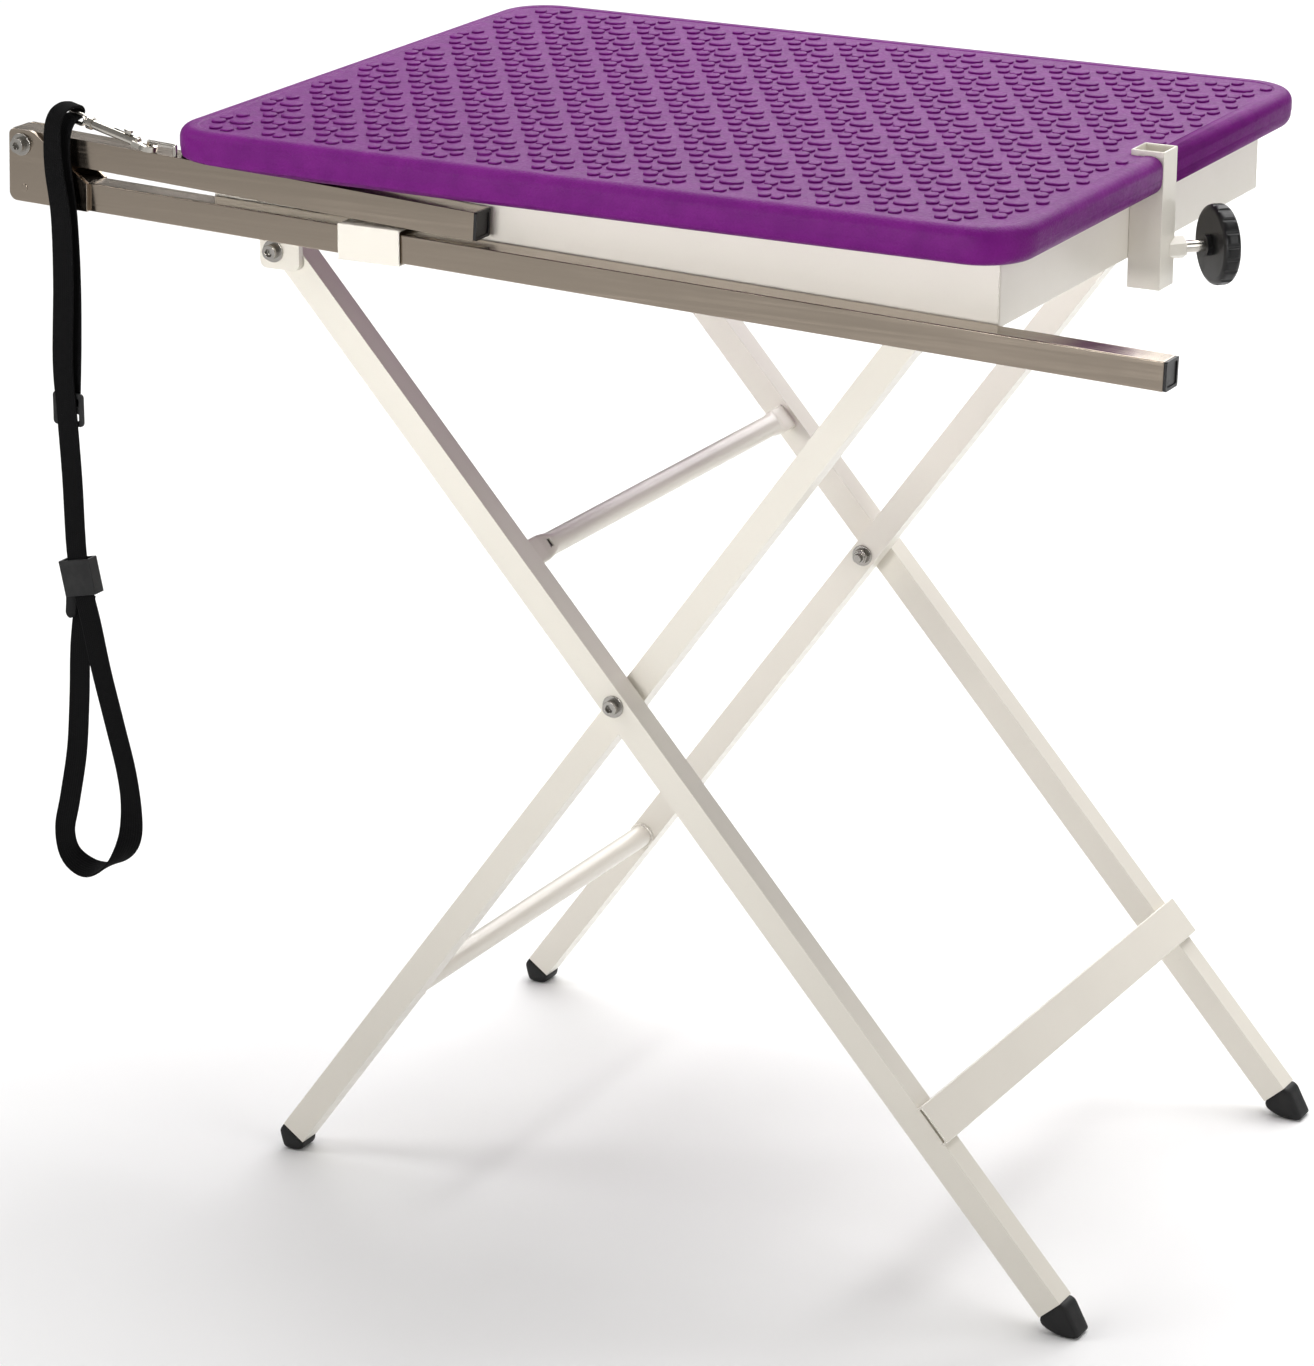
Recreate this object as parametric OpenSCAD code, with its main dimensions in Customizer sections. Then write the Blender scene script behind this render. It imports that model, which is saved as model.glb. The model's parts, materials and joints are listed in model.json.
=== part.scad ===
// Folding grooming table with crossed tube legs, a stored grooming arm and a webbing leash.
// Millimetres. +X runs along the table's long side, +Y to the back, +Z up, the floor is z = 0.

/* [Table top] */
// Length of the top
top_len = 610; // [560:5:640]
// Depth of the top
top_dep = 495; // [470:5:520]
// Thickness of the moulded slab
top_th = 25; // [22:1:30]
// Height of the top's surface over the floor
top_z = 737; // [730:1:745]
// Radius of the top's corners
top_corner = 38; // [25:1:60]
// Radius of the top's upper edge
top_edge = 8; // [4:0.5:9]
// Radius of the top's lower edge
low_edge = 9; // [4:0.5:10]

/* [Apron frame] */
// Distance from the top's end to the apron
apron_inset_x = 23; // [20:1:30]
// Height of the apron's sheet
apron_h = 44; // [40:1:48]
// Thickness of the apron's sheet
sheet = 1.5; // [1.2:0.1:2]

/* [Leg frames] */
// Side of the square leg tube
leg_w = 19; // [18:0.5:20]
// Wall of the square tubes
wall = 1.5; // [1.2:0.1:2]
// Angle of the outer legs to the floor, in degrees
outer_angle = 48.5; // [47.5:0.1:49.5]
// Angle of the inner legs to the floor, in degrees
inner_angle = 54; // [53:0.1:55]
// Height of the crossing pivot
cross_z = 379; // [376:1:382]
// Diameter of the round cross tubes
tube_d = 16; // [14:0.5:17]

/* [Grooming arm] */
// Side of the square stainless tube
arm_w = 19; // [18:0.5:19.5]
// Tilt of the stored post, in degrees
post_tilt = 1.8; // [1.6:0.05:1.9]
// Tilt of the stored arm, in degrees
arm_tilt = 2.95; // [2.9:0.01:3]
// Diameter of the knob on the clamping screw
knob_d = 53; // [46:1:56]

/* [Leash] */
// Width of the webbing
web_w = 16; // [14:0.5:18]
// Thickness of the webbing
web_t = 1.6; // [1.2:0.1:1.8]

/* [Hidden] */
$fn = 48;
eps = 0.01;

// Colours
steel_white = [0.90, 0.88, 0.83];
purple = [0.44, 0.13, 0.50];
stainless = [0.62, 0.59, 0.55];
bright = [0.78, 0.76, 0.72];
black = [0.08, 0.08, 0.08];
nylon = [0.93, 0.92, 0.88];

// Apron
top_under = top_z - top_th;
apron_x = top_len / 2 - apron_inset_x;
apron_y = 216;
apron_z = top_under - apron_h;
flange = 15;

// Lower end of the socket for the arm's post
socket_low = 649;

// Crossing pivot, in the XZ plane
cross_x = 13;
// Outer legs: distances along the leg from the crossing, and the bolt's offset from the leg's middle
outer_up = 373.4;
outer_end_z = 16.5;
outer_down = (cross_z - outer_end_z) / sin(outer_angle);
ear_offset = 4;
ear_x = cross_x - outer_up * cos(outer_angle) - ear_offset * sin(outer_angle);
ear_z = cross_z + outer_up * sin(outer_angle) - ear_offset * cos(outer_angle);
outer_y = 210.7;
outer_tail = 13;
// Inner legs
leg_gap = 4;
inner_y = outer_y - leg_w - leg_gap;
inner_end_z = 12.5;
inner_down = (cross_z - inner_end_z) / sin(inner_angle);
bar_r = tube_d / 2;
rail_z = apron_z + 3;
// The bar hangs low enough to pass under the arm's socket when the legs fold
bar_z = socket_low - 3 - bar_r;
pad_z = bar_z + bar_r + 0.5;
inner_over = 24.6;
inner_up = (bar_z - cross_z) / sin(inner_angle);
bar_x = cross_x + inner_up * cos(inner_angle);
// Cross members, as distances along the legs from the crossing
outer_tube_at = -114;
outer_tube_lift = 3;
inner_tube_at = 302;
foot_bar_from = 328;
foot_bar_w = 29;
foot_bar_h = 5.5;
foot_bar_over = 4;

// M6 screws
m6 = 3;
bore = 3.05;
head_r = 5;
head_h = 5;
hex_r = 2.9;
nut_r = 5.8;
nut_h = 6;
washer_r = 7.5;
washer_h = 1.4;

// Room between the stored arm and the slab over it
relief_gap = 1.2;

// Post and arm, in the XZ plane; both tubes share one depth
sleeve_wall = 1.5;
sleeve_len = 46;
sleeve_x = -151;
sleeve_in = 21;
tube_y = -apron_y - sleeve_wall - sleeve_in / 2;
post_z0 = 670.5;
post_left = -424;
post_right = 400;
post_up = [0, tube_y, post_z0];
arm_pivot_x = -417;
arm_pivot_z = 713;
arm_len = 343;
arm_tail = 9;
cap_head = 2;
plate_th = 3;
plate_y = arm_w / 2;
plate_left = -428;
plate_right = -366.5;
plate_low = -arm_w / 2;
plate_top = 39.2;
plate_slope_x = -409.4;
sleeve_z = post_z0 - sleeve_x * tan(post_tilt);

// Socket for the arm's post and its clamping screw
socket_w = 23;
socket_x = apron_x + socket_w / 2;
socket_high = top_z + 3;
// The clamping screw comes in through the socket's rear right corner; these are distances from the
// socket's middle along the screw
screw_z = 673;
screw_turn = 45;
rod_r = 4;
rod_bore = 4.05;
rod_tip = 13.6;
rod_end = 50;
socket_nut_end = 22.5;
knob_from = 41;
knob_th = 12;
knob_round = 4;
flutes = 18;

// Snap hook: its axis runs from the swivel eye down to the loop on the arm
snap_x = -366;
snap_y = -236;
snap_z = 732.3;
snap_tilt = 14;
barrel_end = 40;
hook_x = 47;
// Swivel eye: its two bars lie along the snap's axis, and the webbing goes round the upper one
eye_x = -12;
eye_w = 21;
eye_bar = 3.2;
eye_wire = 1.4;

// Leash. One flat webbing: sewn at the slider, up behind, through the snap's eye, down in front, through
// the slider and the lock, round the noose and back into the lock.
web_route = [
    [-380, -247.8, 540], [-379, -245.8, 580], [-378, -245.4, 625], [-379, -245.4, 670],
    [-382, -245.4, 700], [-382.5, -245, 718], [-381, -243.2, 728.5], [-379, -239.6, 734],
    [-377.8, -236, 735.2], [-377.6, -231.8, 736], [-377.4, -229.9, 738.6], [-377.6, -231.8, 741.6],
    [-378.3, -236.3, 742.9], [-379.8, -242.5, 743], [-382, -248.5, 739.6], [-384, -251.4, 731.5],
    [-384.5, -252.3, 718], [-383.5, -252.4, 700], [-379.5, -252.4, 670], [-379.5, -252, 625],
    [-382, -252, 570], [-380, -252, 535], [-377.5, -252, 490], [-376, -252, 440],
    [-372, -252, 414], [-366, -252, 390], [-359, -252, 357], [-350, -252, 322],
    [-341, -252, 286], [-338, -252, 258], [-341, -252, 236], [-353, -252, 219],
    [-372, -252, 211], [-388, -252, 218], [-393, -252, 236], [-388, -252, 260],
    [-381, -252, 296], [-377.5, -252, 335], [-377, -249.4, 372], [-374, -245.8, 408]];
// Points up to here keep the webbing's width along X; after it the width follows the bend
web_turn = 22;
// Through the eye the webbing is bunched narrower and lies along the eye's bars
bunch_from = 4;
bunch_to = 17;
bunch = 0.75;

// The part's origin is under the middle of its own length, from the hinge plates to the post's cap
part_left = (plate_left + 6) * cos(post_tilt) + (plate_low + 6) * sin(post_tilt) - 6;
part_right = (post_right + cap_head) * cos(post_tilt) + (arm_w / 2 - 0.3) * sin(post_tilt);
shift_x = -(part_left + part_right) / 2;

module place() translate([shift_x, 0, 0]) children();

// ---- shared shapes ----

// Square tube along X from x0 to x1, centred on the axis
module square_tube(x0, x1, w, t) {
    difference() {
        translate([x0, -w / 2, -w / 2]) cube([x1 - x0, w, w]);
        translate([x0 - 1, -w / 2 + t, -w / 2 + t]) cube([x1 - x0 + 2, w - 2 * t, w - 2 * t]);
    }
}

// Cylinder along Y from y0 to y1
module rod_y(r, y0, y1, sides = 48) {
    translate([0, y0, 0]) rotate([-90, 0, 0]) cylinder(r = r, h = y1 - y0, $fn = sides);
}

// Cylinder along X from x0 to x1
module rod_x(r, x0, x1, sides = 48) {
    translate([x0, 0, 0]) rotate([0, 90, 0]) cylinder(r = r, h = x1 - x0, $fn = sides);
}

// Flat rectangle with round corners
module round_rect(l, w, r) {
    square([l - 2 * r, w], center = true);
    square([l, w - 2 * r], center = true);
    for (sx = [-1, 1]) for (sy = [-1, 1]) translate([sx * (l / 2 - r), sy * (w / 2 - r)]) circle(r);
}

// Socket head cap screw along +Y: its head's underside is at y = 0, the shank runs to y = grip
module cap_screw(grip) {
    difference() {
        union() {
            rod_y(head_r, -head_h, 0);
            rod_y(m6, -eps, grip);
        }
        rod_y(hex_r, -head_h - 1, -head_h + 3, 6);
    }
}

module washer(y0) {
    difference() {
        rod_y(washer_r, y0, y0 + washer_h);
        rod_y(bore, y0 - 1, y0 + washer_h + 1);
    }
}

// Lock nut with a collar, on +Y from y0
module lock_nut(y0) {
    difference() {
        union() {
            rod_y(nut_r, y0, y0 + nut_h - 2, 6);
            rod_y(nut_r - 1.4, y0 + nut_h - 2 - eps, y0 + nut_h);
        }
        rod_y(bore, y0 - 1, y0 + nut_h + 1);
    }
}

// Frame of the outer legs: +X runs down the leg from the crossing, +Z out of its upper right face
module on_outer() place() translate([cross_x, 0, cross_z]) rotate([0, outer_angle, 0]) children();

// Frame of the inner legs: +X runs down the leg from the crossing, +Z out of its lower right face
module on_inner() place() translate([cross_x, 0, cross_z]) rotate([0, 180 - inner_angle, 0]) children();

// Frame of the stored post: +X runs down along the post
module on_post() place() translate(post_up) rotate([0, post_tilt, 0]) children();

// Frame of the arm: origin on its pivot, +X along the arm
module on_arm() place() translate([arm_pivot_x, tube_y, arm_pivot_z]) rotate([0, arm_tilt, 0]) children();

// Frame of the snap hook: origin at the swivel, +X towards the hook
module on_snap() place() translate([snap_x, snap_y, snap_z]) rotate([0, snap_tilt, 0]) children();

// Both sides of the table: side = -1 at the front, 1 at the back
module both_sides() for (side = [-1, 1]) scale_y(side) children();
module scale_y(side) mirror([0, side > 0 ? 1 : 0, 0]) children();

// ---- table top and apron ----

module edge_profile(r, h, up, low) {
    square([r - max(up, low), h]);
    translate([0, low]) square([r, h - up - low]);
    square([r - low, h / 2]);
    translate([0, h / 2]) square([r - up, h / 2]);
    translate([r - low, low]) circle(low);
    translate([r - up, h - up]) circle(up);
}

// Slab with round corners and round edges, its underside at z = 0
module round_slab(l, w, h, r, up, low) {
    for (i = [0:3]) {
        sx = (i == 0 || i == 3) ? 1 : -1;
        sy = i < 2 ? 1 : -1;
        translate([sx * (l / 2 - r), sy * (w / 2 - r), 0])
            rotate([0, 0, 90 * i]) rotate_extrude(angle = 90) edge_profile(r, h, up, low);
    }
    for (sx = [0, 1]) rotate([0, 0, 180 * sx]) translate([l / 2 - r, w / 2 - r, 0])
        rotate([90, 0, 0]) linear_extrude(w - 2 * r) edge_profile(r, h, up, low);
    for (sy = [0, 1]) rotate([0, 0, 180 * sy]) translate([-l / 2 + r, w / 2 - r, 0])
        rotate([90, 0, 90]) linear_extrude(l - 2 * r) edge_profile(r, h, up, low);
    translate([-l / 2 + r, -w / 2 + r, 0]) cube([l - 2 * r, w - 2 * r, h]);
}

module tabletop() {
    color(purple) place() difference() {
        translate([0, 0, top_under]) round_slab(top_len, top_dep, top_th, top_corner, top_edge, low_edge);
        // notch for the arm's socket
        translate([apron_x - 1, -socket_w / 2 - 1.5, top_under - 1])
            cube([apron_inset_x + 10, socket_w + 3, top_th + 2]);
        // relief over the stored arm, along the slab's lower front edge
        translate([arm_pivot_x, 0, arm_pivot_z]) rotate([0, arm_tilt, 0])
            translate([60, -top_dep / 2 - 10, -arm_w / 2]) cube([arm_len, top_dep / 2 + 10 - apron_y - 0.3,
                arm_w + relief_gap]);
    }
}

// Long side of the apron: a web with a flange under the top
module apron_long() {
    translate([-apron_x, -apron_y, apron_z]) cube([2 * apron_x, sheet, apron_h]);
    translate([-apron_x + sheet, -apron_y, top_under - sheet]) cube([2 * apron_x - 2 * sheet, flange, sheet]);
}

// Short side of the apron, between the long ones
module apron_short() {
    translate([apron_x - sheet, -apron_y + sheet, apron_z]) cube([sheet, 2 * (apron_y - sheet), apron_h]);
    translate([apron_x - flange, -apron_y + flange, top_under - sheet])
        cube([flange, 2 * (apron_y - flange), sheet]);
}

module apron_front() color(steel_white) place() apron_long();
module apron_rear() color(steel_white) place() mirror([0, 1, 0]) apron_long();
module apron_right() color(steel_white) place() apron_short();
module apron_left() color(steel_white) place() mirror([1, 0, 0]) apron_short();

// Channel across the underside that the inner frame's top bar bears against
rail_w = 36;
module catch_rail() {
    color(steel_white) place() translate([bar_x - rail_w / 2, -apron_y + sheet, rail_z]) difference() {
        cube([rail_w, 2 * (apron_y - sheet), top_under - sheet - rail_z]);
        translate([sheet, -1, sheet]) cube([rail_w - 2 * sheet, 2 * apron_y, apron_h]);
    }
}

pad_y = 120;
module catch_pads() {
    color(nylon) place() for (y = [-pad_y, pad_y])
        translate([bar_x - 12, y - 15, pad_z]) cube([24, 30, rail_z - pad_z]);
}

// Screws that hold the apron's flanges to the top
screw_at = [-200, 0, 160];
module top_screws() {
    color(bright) place() for (x = screw_at) for (y = [-1, 1])
        translate([x, y * (apron_y - 8), top_under - sheet - 2.5]) cylinder(r = 4.5, h = 2.5);
}

// Hinge ear: a tab of the apron with round lower corners; its outer face is flush with the apron
ear_w = 30;
ear_th = 5;
ear_low = 644;
ear_high = 700;
module ear_shape(w, low, high, y0, y1) {
    translate([ear_x + 4.5, 0, 0]) rotate([90, 0, 0]) translate([0, 0, -y1]) linear_extrude(y1 - y0) {
        translate([-w / 2, low + 5]) square([w, high - low - 5]);
        translate([-w / 2 + 5, low]) square([w - 10, 10]);
        for (sx = [-1, 1]) translate([sx * (w / 2 - 5), low + 5]) circle(5);
    }
}

module ear() {
    difference() {
        union() {
            ear_shape(ear_w, ear_low, apron_z, -apron_y, -apron_y + ear_th);
            ear_shape(ear_w, apron_z - 12, ear_high, -apron_y + sheet, -apron_y + ear_th);
        }
        translate([ear_x, -apron_y - 1, ear_z]) rod_y(bore, 0, ear_th + 2);
    }
}

module ear_front() color(steel_white) place() ear();
module ear_rear() color(steel_white) place() mirror([0, 1, 0]) ear();

ear_grip = ear_th + 0.3 + leg_w + washer_h + nut_h + 3;
module ear_bolts() {
    color(bright) place() both_sides()
        translate([ear_x, -apron_y - washer_h, ear_z]) cap_screw(ear_grip + washer_h);
}
module ear_washers() {
    color(bright) place() both_sides() translate([ear_x, 0, ear_z]) {
        washer(-apron_y - washer_h);
        washer(-outer_y + leg_w + 0.1);
    }
}
module ear_nuts() {
    color(bright) place() both_sides() translate([ear_x, 0, ear_z])
        lock_nut(-outer_y + leg_w + 0.1 + washer_h);
}

// ---- sleeve, socket ----

module arm_sleeve() {
    out_w = sleeve_in + 2 * sleeve_wall;
    color(steel_white) place() translate([sleeve_x, tube_y, sleeve_z])
        square_tube(-sleeve_len / 2, sleeve_len / 2, out_w, sleeve_wall);
}

module arm_socket() {
    color(steel_white) place() translate([socket_x, 0, 0]) difference() {
        rotate([0, -90, 0]) square_tube(socket_low, socket_high, socket_w, wall);
        translate([0, 0, screw_z]) rotate([0, 0, screw_turn]) rod_x(rod_r + 0.5, 0, socket_w);
    }
}

module at_screw() place() translate([socket_x, 0, screw_z]) rotate([0, 0, screw_turn]) children();

// Hex nut welded over the socket's corner
module socket_nut() {
    color(steel_white) at_screw() difference() {
        rod_x(7.5, 8, socket_nut_end, 6);
        rotate([0, 0, -screw_turn]) translate([-socket_w / 2, -socket_w / 2, -10]) cube([socket_w, socket_w, 20]);
        rod_x(rod_bore, 0, socket_nut_end + 1);
    }
}

module clamp_rod() {
    color(bright) at_screw() rod_x(rod_r, rod_tip, rod_end);
}

// Round knob with a rounded, fluted rim and a collar, turned about the screw
module clamp_knob() {
    color(black) at_screw() translate([knob_from, 0, 0]) rotate([0, 90, 0]) difference() {
        rotate_extrude() {
            translate([0, knob_round]) square([knob_d / 2, knob_th - 2 * knob_round]);
            square([knob_d / 2 - knob_round, knob_th]);
            for (z = [knob_round, knob_th - knob_round]) translate([knob_d / 2 - knob_round, z])
                circle(knob_round);
            translate([0, -4]) square([7, 4 + eps]);
        }
        for (i = [0:flutes - 1]) rotate([0, 0, 360 / flutes * i])
            translate([knob_d / 2 + 1.4, 0, -1]) cylinder(r = 2.4, h = knob_th + 2);
        translate([0, 0, -5]) cylinder(r = rod_bore, h = rod_end - knob_from + 5.05);
    }
}

// ---- outer frame ----

module outer_leg() {
    difference() {
        translate([0, -outer_y + leg_w / 2, 0]) square_tube(-outer_up - outer_tail, outer_down, leg_w, wall);
        rod_y(bore, -outer_y - 1, -outer_y + leg_w + 1);
        translate([-outer_up, 0, -ear_offset]) rod_y(bore, -outer_y - 1, -outer_y + leg_w + 1);
    }
}

module outer_leg_front() color(steel_white) on_outer() outer_leg();
module outer_leg_rear() color(steel_white) on_outer() mirror([0, 1, 0]) outer_leg();

module outer_cross_tube() {
    half = outer_y - leg_w;
    color(steel_white) on_outer() translate([outer_tube_at, 0, outer_tube_lift]) difference() {
        rod_y(tube_d / 2, -half, half);
        rod_y(tube_d / 2 - wall, -half - 1, half + 1);
    }
}

// Shallow channel across the legs' upper right faces, near the feet
module foot_bar() {
    len_y = 2 * outer_y + 2 * foot_bar_over;
    color(steel_white) on_outer() translate([foot_bar_from, -len_y / 2, leg_w / 2]) difference() {
        cube([foot_bar_w, len_y, foot_bar_h]);
        translate([sheet, -1, -1]) cube([foot_bar_w - 2 * sheet, len_y + 2, foot_bar_h - sheet + 1]);
    }
}

// Rubber foot: a plug in the tube's end and a wedge with a rounded sole that stands on the floor.
// outline is the wedge, sole its circle's middle and radius, both measured from the leg's end.
foot_w = leg_w + 0.8;
plug_len = 22;
module foot(end_x, end_z, lean, outline, sole) {
    plug_w = leg_w - 2 * wall;
    translate([end_x, 0, end_z]) {
        rotate([0, lean, 0]) translate([-plug_len, -plug_w / 2, -plug_w / 2]) cube([plug_len + 1, plug_w, plug_w]);
        translate([0, foot_w / 2, 0]) rotate([90, 0, 0]) linear_extrude(foot_w) intersection() {
            polygon(outline);
            translate([sole[0], sole[1] - end_z]) circle(sole[1], $fn = 96);
        }
    }
}
outer_wedge = [[-7.1, -6.3], [-6.4, -10], [-6.4, -20], [23.4, -20], [10.9, 4], [7.1, 6.3]];
outer_sole = [12, 31];
inner_wedge = [[-7.7, 5.6], [-11.2, 0.3], [-8, -11], [-8, -16], [6, -16], [6.5, -10], [7.7, -5.6]];
inner_sole = [-1, 26];

// Ends of the legs' middle lines, in the table's own axes
outer_end_x = cross_x + outer_down * cos(outer_angle);
inner_end_x = cross_x - inner_down * cos(inner_angle);

module outer_feet() {
    color(black) place() for (side = [-1, 1]) translate([0, side * (outer_y - leg_w / 2), 0])
        foot(outer_end_x, outer_end_z, outer_angle, outer_wedge, outer_sole);
}

cross_grip = 2 * leg_w + leg_gap + 2 * washer_h + nut_h + 3;
module cross_bolts() {
    color(bright) on_outer() both_sides() translate([0, -outer_y - washer_h, 0]) cap_screw(cross_grip);
}
module cross_washers() {
    color(bright) on_outer() both_sides() {
        washer(-outer_y - washer_h);
        washer(-inner_y + leg_w + 0.1);
    }
}
module cross_spacers() {
    color(nylon) on_outer() both_sides() difference() {
        rod_y(washer_r, -outer_y + leg_w, -inner_y - 0.2);
        rod_y(bore, -outer_y + leg_w - 1, -inner_y + 1);
    }
}
module cross_nuts() {
    color(bright) on_outer() both_sides() lock_nut(-inner_y + leg_w + 0.1 + washer_h);
}

// ---- inner frame ----

module inner_leg() {
    difference() {
        translate([0, -inner_y + leg_w / 2, 0]) square_tube(-inner_up - inner_over, inner_down, leg_w, wall);
        rod_y(bore, -inner_y - 1, -inner_y + leg_w + 1);
    }
}

module inner_leg_front() color(steel_white) on_inner() inner_leg();
module inner_leg_rear() color(steel_white) on_inner() mirror([0, 1, 0]) inner_leg();

module inner_cross_tube() {
    half = inner_y - leg_w;
    color(steel_white) on_inner() translate([inner_tube_at, 0, 0]) difference() {
        rod_y(tube_d / 2, -half, half);
        rod_y(tube_d / 2 - wall, -half - 1, half + 1);
    }
}

module inner_top_bar() {
    half = inner_y - leg_w;
    color(steel_white) on_inner() translate([-inner_up, 0, 0]) difference() {
        rod_y(bar_r, -half, half);
        rod_y(bar_r - wall, -half - 1, half + 1);
    }
}

module inner_feet() {
    color(black) place() for (side = [-1, 1]) translate([0, side * (inner_y - leg_w / 2), 0])
        foot(inner_end_x, inner_end_z, 180 - inner_angle, inner_wedge, inner_sole);
}

// ---- stored post and arm ----

module post_tube() {
    color(stainless) on_post() square_tube(post_left, post_right, arm_w, wall);
}

module plug_square(w, corner, from, to) {
    translate([from, 0, 0]) rotate([90, 0, 90]) linear_extrude(to - from) offset(corner) offset(-corner)
        square(w, center = true);
}

module tube_plug(x, way, tube_w) {
    in_w = tube_w - 2 * wall;
    translate([x, 0, 0]) mirror([way > 0 ? 0 : 1, 0, 0]) difference() {
        union() {
            translate([-14, -in_w / 2, -in_w / 2]) cube([14 + eps, in_w, in_w]);
            plug_square(tube_w - 0.2, 1.5, 0, cap_head);
        }
        plug_square(tube_w - 4.4, 1.5, cap_head - 0.8, cap_head + 1);
    }
}

module post_cap() color(black) on_post() tube_plug(post_right, 1, arm_w);

// Hinge plates: they stand over the post's end and carry the arm's pivot
module plate_outline() {
    polygon([[plate_left, plate_low + 6], [plate_left + 6, plate_low], [plate_right, plate_low],
        [plate_right, arm_w / 2], [plate_slope_x + 2, plate_top - 1.4], [plate_slope_x - 2, plate_top],
        [plate_left + 4, plate_top], [plate_left, plate_top - 4]]);
    translate([plate_left + 6, plate_low + 6]) circle(6);
    translate([plate_left + 4, plate_top - 4]) circle(4);
}

pivot_px = (arm_pivot_x) * cos(post_tilt) - (arm_pivot_z - post_z0) * sin(post_tilt);
pivot_pz = (arm_pivot_x) * sin(post_tilt) + (arm_pivot_z - post_z0) * cos(post_tilt);

module hinge_plate() {
    difference() {
        translate([0, -plate_y, 0]) rotate([90, 0, 0]) linear_extrude(plate_th) plate_outline();
        translate([pivot_px, 0, pivot_pz]) rod_y(bore, -plate_y - plate_th - 1, -plate_y + 1);
    }
}

module hinge_plate_front() color(stainless) on_post() hinge_plate();
module hinge_plate_rear() color(stainless) on_post() mirror([0, 1, 0]) hinge_plate();

// Plug welds that hold the plates to the post
module plate_rivets() {
    color(stainless) on_post() for (x = [-416, -386]) for (side = [-1, 1])
        translate([x, side * (plate_y + plate_th + 0.15), 0]) rod_y(2.5, -0.15, 0.15);
}

arm_grip = arm_w + 2 * plate_th + 2 * washer_h + nut_h + 2;
module at_arm_pivot() on_post() translate([pivot_px, 0, pivot_pz]) children();
module arm_bolt() color(bright) at_arm_pivot() translate([0, -plate_y - plate_th - washer_h, 0]) cap_screw(arm_grip);
module arm_washers() {
    color(bright) at_arm_pivot() {
        washer(-plate_y - plate_th - washer_h);
        washer(plate_y + plate_th);
    }
}
module arm_nut() color(bright) at_arm_pivot() lock_nut(plate_y + plate_th + washer_h);

arm_play = 0.3;
module arm_tube() {
    color(stainless) on_arm() difference() {
        square_tube(-arm_tail, arm_len, arm_w - arm_play, wall);
        rod_y(bore, -arm_w, arm_w);
    }
}

module arm_caps() color(black) on_arm() tube_plug(arm_len, 1, arm_w - arm_play);

// Wire loop welded on the arm's upper face, which the snap hook holds
loop_from = 97;
loop_len = 20;
loop_h = 8.2;
loop_y = -7.5;
wire_r = 1.5;
module arm_loop() {
    top = (arm_w - arm_play) / 2;
    color(bright) on_arm() translate([0, loop_y, 0]) {
        for (x = [loop_from, loop_from + loop_len]) translate([x, 0, top])
            cylinder(r = wire_r, h = loop_h - wire_r);
        translate([0, 0, top + loop_h - wire_r]) rod_x(wire_r, loop_from, loop_from + loop_len);
        for (x = [loop_from, loop_from + loop_len]) translate([x, 0, top + loop_h - wire_r]) sphere(wire_r);
    }
}

// ---- snap hook ----

barrel_r = 3.2;
bolt_r = 1.3;
bolt_bore = 1.6;
stem_r = 1.8;
module snap_body() {
    color(bright) on_snap() difference() {
        union() {
            rod_x(4.2, 0, 3.5);
            rod_x(barrel_r, 3, barrel_end);
            rod_x(3.9, barrel_end - 4, barrel_end - 1);
            // hook: a flat ring beside the axis, open where the bolt comes out
            translate([hook_x, 0, -1.8]) linear_extrude(3.6) difference() {
                union() {
                    circle(6.6);
                    translate([-9, -6]) square([6, 4.3]);
                }
                circle(3.8);
                translate([-8, -1.7]) square([8, 9.8]);
            }
        }
        translate([20, -1.1, 0]) cube([16, 2.2, 6]);
        rod_x(bolt_bore, 6, barrel_end + 1);
        rod_x(stem_r + 0.05, -1, 4);
    }
}

module snap_eye() {
    color(bright) on_snap() {
        rod_x(stem_r, eye_x + eye_w / 2 - 1, 3.5);
        translate([eye_x, 0, 0]) {
            for (sz = [-1, 1]) translate([0, 0, sz * eye_bar])
                rod_x(eye_wire, -eye_w / 2 + eye_bar + eye_wire, eye_w / 2 - eye_bar - eye_wire);
            for (sx = [-1, 1]) translate([sx * (eye_w / 2 - eye_bar - eye_wire), 0, 0]) rotate([90, 0, 0])
                rotate([0, 0, sx > 0 ? -90 : 90]) rotate_extrude(angle = 180)
                    translate([eye_bar, 0]) circle(eye_wire);
        }
    }
}

module snap_thumb() {
    color(bright) on_snap() {
        rod_x(bolt_r, 22, barrel_end + 3.5);
        translate([29, -0.9, 0]) cube([4, 1.8, 5]);
        translate([31, 0, 4.8]) cylinder(r = 3.1, h = 1.8);
    }
}

module snap_spring() {
    color(bright) on_snap() difference() {
        rod_x(1.5, 7, 15.5);
        rod_x(0.9, 6, 17);
    }
}

// ---- leash ----

function catmull(a, b, c, d, t) = 0.5 * (2 * b + (c - a) * t + (2 * a - 5 * b + 4 * c - d) * t * t
    + (3 * b - a - 3 * c + d) * t * t * t);
function clampi(i, n) = max(0, min(n - 1, i));
function smooth(p, steps) = let (n = len(p)) [for (i = [0:n - 2]) for (k = [0:steps - 1])
    catmull(p[clampi(i - 1, n)], p[i], p[i + 1], p[clampi(i + 2, n)], k / steps), p[n - 1]];
function unit(v) = v / norm(v);
function tangent(p, i) = unit(p[clampi(i + 1, len(p))] - p[clampi(i - 1, len(p))]);
// How far a point is into the eye, from 0 to 1
function in_eye(u) = let (m = (bunch_from + bunch_to) / 2, h = (bunch_to - bunch_from) / 2)
    sqrt(max(0, 1 - pow((u - m) / h, 2)));
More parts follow.
